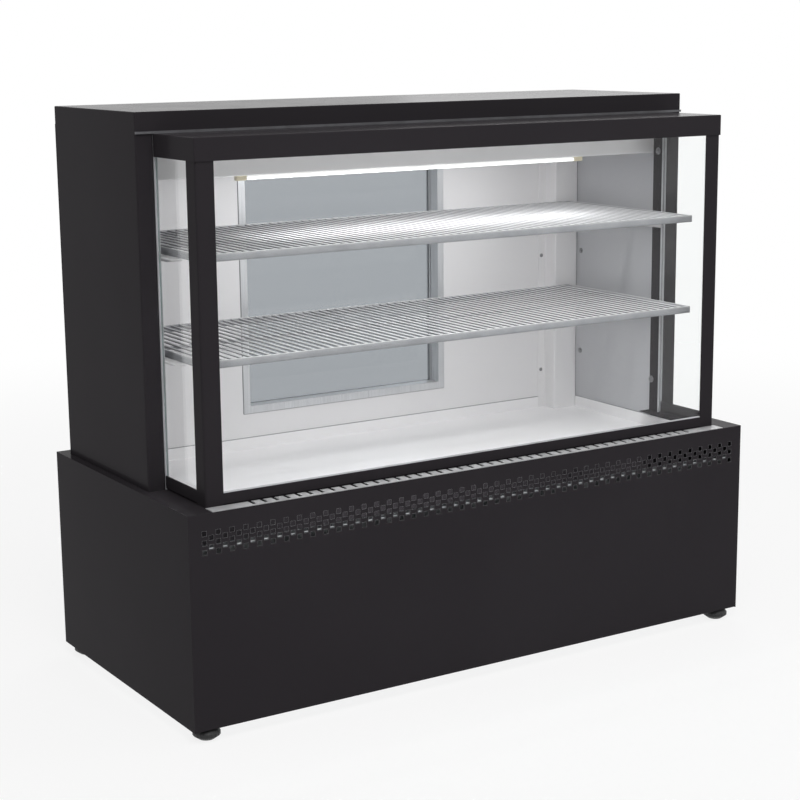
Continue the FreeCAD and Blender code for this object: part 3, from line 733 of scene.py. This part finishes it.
def makeLedgeSeal():  # closes the gap between the deck's front fold and the ledge
    low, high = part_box("deck_tray")
    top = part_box("plinth_top_frame")[0].z
    start = Vector((low.x, low.y + ledgeSeal["depth"], high.z))
    inner = Vector((0, -ledgeSeal["depth"], 0))
    bm = bmesh.new()
    runBead(bm, start, (high.x, start.y, start.z), inner, Vector((0, 0, top - high.z)))
    finishPiece("ledge_seal", bm, "case", "black_rubber", bead["sharp"])


lipSeal = {"width": 0.0014, "rise": 0.0011}


def makeLipSeal():
    low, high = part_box("door_opening_frame")
    y = linerFront
    out = Vector((0, -lipSeal["rise"], 0))
    bm = bmesh.new()
    for x, way in ((low.x, -1), (high.x, 1)):
        start = x + way * lipSeal["width"]
        runBead(bm, (start, y, low.z), (start, y, high.z), Vector((x - start, 0, 0)), out)
    for z, way in ((low.z, -1), (high.z, 1)):
        start = z + way * lipSeal["width"]
        runBead(bm, (low.x, y, start), (high.x, y, start), Vector((0, 0, z - start)), out)
    finishPiece("door_frame_seal", bm, "case", "grey_rubber", bead["sharp"], greySealant)


makeFrontBead()
makeDeckSeal()
makeLedgeSeal()
makeLipSeal()
print("beads made")


# marks on the rocker

rockerMarks = {
    "pivotDepth": 0.001, "crown": 0.003, "tilt": 8.0, "out": 0.0055, "lift": 0.00015,
    "barHalf": 0.0005, "barTall": 0.0021, "edge": 0.00005,
    "ring": 0.0021, "ringWidth": 0.0007, "sides": 40, "sharp": 40.0}


def flatRing(bm, place, outer, inner, low, high, count):  # lies round the local Y axis
    turns = [2 * math.pi * step / count for step in range(count)]
    loops = []
    for radius, height in ((outer, low), (outer, high), (inner, high), (inner, low)):
        points = [Vector((radius * math.cos(a), height, radius * math.sin(a))) for a in turns]
        loops.append([bm.verts.new(place @ point) for point in points])
    for first, second in zip(loops, loops[1:] + loops[:1]):
        for step in range(count):
            after = (step + 1) % count
            bm.faces.new((first[step], first[after], second[after], second[step]))


def makeRockerMarks():
    m = rockerMarks
    low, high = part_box("switch_housing")
    pivot = Vector(((low.x + high.x) / 2, plinthRear - m["pivotDepth"], (low.z + high.z) / 2))
    tilt = math.radians(m["tilt"])
    crown = Matrix.Translation((0, m["crown"], 0))
    rest = Matrix.Translation(pivot) @ Matrix.Rotation(tilt, 4, "X") @ crown
    upper = rest @ Matrix.Rotation(-tilt, 4, "X") @ Matrix.Translation((0, 0, m["out"]))
    lower = rest @ Matrix.Rotation(tilt, 4, "X") @ Matrix.Translation((0, 0, -m["out"]))
    bm = bmesh.new()
    for v in bmesh.ops.create_cube(bm, size=2.0)["verts"]:
        v.co = upper @ Vector((v.co.x * m["barHalf"], v.co.y * m["lift"], v.co.z * m["barTall"]))
    bmesh.ops.bevel(bm, geom=list(bm.edges), offset=m["edge"], segments=2, profile=0.5, affect="EDGES")
    flatRing(bm, lower, m["ring"], m["ring"] - m["ringWidth"], -m["lift"], m["lift"], m["sides"])
    finishPiece("rocker_marks", bm, "power_rocker", "driver_case", m["sharp"])


makeRockerMarks()
print("rocker marks made")


# levelling feet

footMaking = {
    "sole": 0.0125, "soleEdge": 0.014, "soleRise": 0.0006,
    "rimRound": 0.0008, "rimHeights": (0.0074, 0.0083, 0.0127, 0.0136),
    "neck": 0.0178, "neckTop": 0.0168, "neckRound": 0.0006, "mouth": 0.0078, "gap": 0.0003,
    "grips": 20, "gripDepth": 0.0011, "sides": 120, "sharp": 40.0}
stemMaking = {
    "radius": 0.005, "inPad": 0.002, "chamfer": 0.0008, "sides": 24, "sharp": 20.0,
    "pitch": 0.0015, "depth": 0.0006, "rises": (0.0002, 0.00075, 0.0013)}  # crest, root, crest of a turn


def makeFootPad(name, body, place, radius, top):
    m = footMaking

    def grip(r, angle):  # flutes round the widest part
        if r < radius:
            return r
        return r - m["gripDepth"] * (0.5 - 0.5 * math.cos(angle * m["grips"]))

    rimLow, rimStart, rimEnd, rimHigh = m["rimHeights"]
    inside = radius - m["rimRound"]
    profile = [
        (m["sole"], 0.0), (m["soleEdge"], m["soleRise"]),
        (inside, rimLow), (radius, rimStart), (radius, rimEnd), (inside, rimHigh),
        (m["neck"], top - m["neckRound"]), (m["neckTop"], top), (m["mouth"], top)]
    bm = bmesh.new()
    lathe(bm, profile, m["sides"], place, grip)
    return finishPiece(name, bm, body, "foot_plastic", m["sharp"])


def makeFootStem(name, body, place, bottom, top):
    s = stemMaking
    radius = s["radius"]
    root = radius - s["depth"]
    firstCrest, dip, nextCrest = s["rises"]
    profile = [(radius, bottom - s["inPad"])]
    for turn in range(math.floor((top - bottom) / s["pitch"])):
        z = bottom + turn * s["pitch"]
        profile += [(radius, z + firstCrest), (root, z + dip), (radius, z + nextCrest)]
    profile += [(radius, top - s["chamfer"]), (radius - s["chamfer"], top)]
    bm = bmesh.new()
    lathe(bm, profile, s["sides"], place)
    return finishPiece(name, bm, body, "galvanised_steel", s["sharp"])


def makeFoot(corner):
    node = "levelling_foot_" + corner
    body = "foot_" + corner
    low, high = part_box(node)
    centre = (low + high) / 2
    place = Matrix.Translation((centre.x, centre.y, 0))
    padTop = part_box("plinth_front_panel")[0].z - footMaking["gap"]
    pad = makeFootPad("foot_pad_" + corner, body, place, (high.x - low.x) / 2, padTop)
    stem = makeFootStem("foot_stem_" + corner, body, place, padTop, high.z)
    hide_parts(node)
    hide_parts(node)


for corner in ("front_left", "front_right", "rear_left", "rear_right"):
    makeFoot(corner)
print("feet made")


# floor, light and camera

studio = {
    "floor": (0.96, 0.96, 0.96), "seenWhite": 0.84, "near": 1.2, "far": 3.5, "size": 30.0,
    "white": (1.0, 1.0, 1.0), "worldLight": 0.32}


def makeFloor():
    f = Finish("studio_floor")
    x, y, z = f.axes(f.place())
    far = (x * x + y * y).fade(studio["near"] ** 2, studio["far"] ** 2)  # melts into the backdrop
    whiteness = studio["seenWhite"] + far * (1.0 - studio["seenWhite"])
    matte = f.add("BsdfDiffuse", sockets={"Color": studio["floor"]})
    white = f.add("Emission", sockets={"Color": studio["white"], "Strength": 1.0})
    material = f.surface(f.add("MixShader", sockets={0: f.seen() * whiteness, 1: matte, 2: white}))
    bm = bmesh.new()
    bmesh.ops.create_grid(bm, x_segments=1, y_segments=1, size=studio["size"] / 2)
    mesh = bpy.data.meshes.new("studio_floor")
    bm.to_mesh(mesh)
    bm.free()
    mesh.materials.append(material)
    floor = bpy.data.objects.new("studio_floor", mesh)
    bpy.context.scene.collection.objects.link(floor)


def makeWorld():
    f = Finish("studio_light", bpy.data.worlds)
    lighting = f.add("Background", sockets={"Color": studio["white"], "Strength": studio["worldLight"]})
    backdrop = f.add("Background", sockets={"Color": studio["white"], "Strength": 1.0})
    sky = f.add("MixShader", sockets={0: f.seen(), 1: lighting, 2: backdrop})
    bpy.context.scene.world = f.surface(sky, "OutputWorld")


def areaLight(name, power, width, height, place, turn):
    data = bpy.data.lights.new(name, "AREA")
    data.shape = "RECTANGLE"
    data.size = width
    data.size_y = height
    data.energy = power
    light = bpy.data.objects.new(name, data)
    light.location = place
    light.rotation_euler = turn
    bpy.context.scene.collection.objects.link(light)
    return light


lampStrip = {"power": 1.8, "width": 0.014, "below": 0.001, "tilt": 9.0}  # turned a little to the rear wall


def makeLampLight():
    low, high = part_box("lamp_tube")
    place = (0.0, (low.y + high.y) / 2, low.z - lampStrip["below"])
    turn = (math.radians(lampStrip["tilt"]), 0.0, 0.0)
    light = areaLight(
        "case_lamp_light", lampStrip["power"], high.x - low.x, lampStrip["width"], place, turn)
    light.visible_camera = False


baseFill = {"power": 1.5, "width": 0.72, "height": 0.2, "right": 0.2, "lift": 0.18, "turn": 90.0}


def makeBaseFill():  # a soft fill inside the base, so that the punched holes aren't dead black
    b = baseFill
    place = (b["right"], 0.0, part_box("plinth_bottom_pan")[0].z + b["lift"])
    turn = (math.radians(b["turn"]), 0.0, 0.0)
    light = areaLight("base_fill", b["power"], b["width"], b["height"], place, turn)
    light.visible_camera = False


softboxAim = (0.0, 0.0, 0.5)
softboxes = [
    {"name": "key_softbox", "place": (-0.9, -2.5, 4.0), "size": 2.4, "power": 78.0},
    {"name": "fill_softbox", "place": (2.8, -1.8, 2.2), "size": 2.0, "power": 10.0},
    {"name": "back_softbox", "place": (3.3, 3.2, 2.8), "size": 2.4, "power": 36.0},
]


def makeSoftboxes():
    for box in softboxes:
        ahead = Vector(softboxAim) - Vector(box["place"])
        turn = ahead.to_track_quat("-Z", "Y").to_euler()
        areaLight(box["name"], box["power"], box["size"], box["size"], box["place"], turn)


photoView = {
    "lens": 80.86, "sensor": 36.0, "reach": 100.0, "place": (-1.8084, -2.8362, 1.1591),
    "turn": 32.31, "tilt": -11.58, "roll": -0.577}


def makeCamera():
    data = bpy.data.cameras.new("photo_view")
    data.lens = photoView["lens"]
    data.sensor_width = photoView["sensor"]
    data.clip_end = photoView["reach"]
    camera = bpy.data.objects.new("photo_view", data)
    turn = math.radians(photoView["turn"])
    tilt = math.radians(photoView["tilt"])
    ahead = Vector((math.sin(turn) * math.cos(tilt), math.cos(turn) * math.cos(tilt), math.sin(tilt)))
    upright = ahead.to_track_quat("-Z", "Y").to_matrix().to_4x4()
    roll = Matrix.Rotation(math.radians(photoView["roll"]), 4, "Z")
    camera.matrix_world = Matrix.Translation(photoView["place"]) @ upright @ roll
    bpy.context.scene.collection.objects.link(camera)
    bpy.context.scene.camera = camera


makeFloor()
makeWorld()
makeLampLight()
makeBaseFill()
makeSoftboxes()
makeCamera()
bpy.context.scene.view_settings.view_transform = "Standard"
print("stage set")
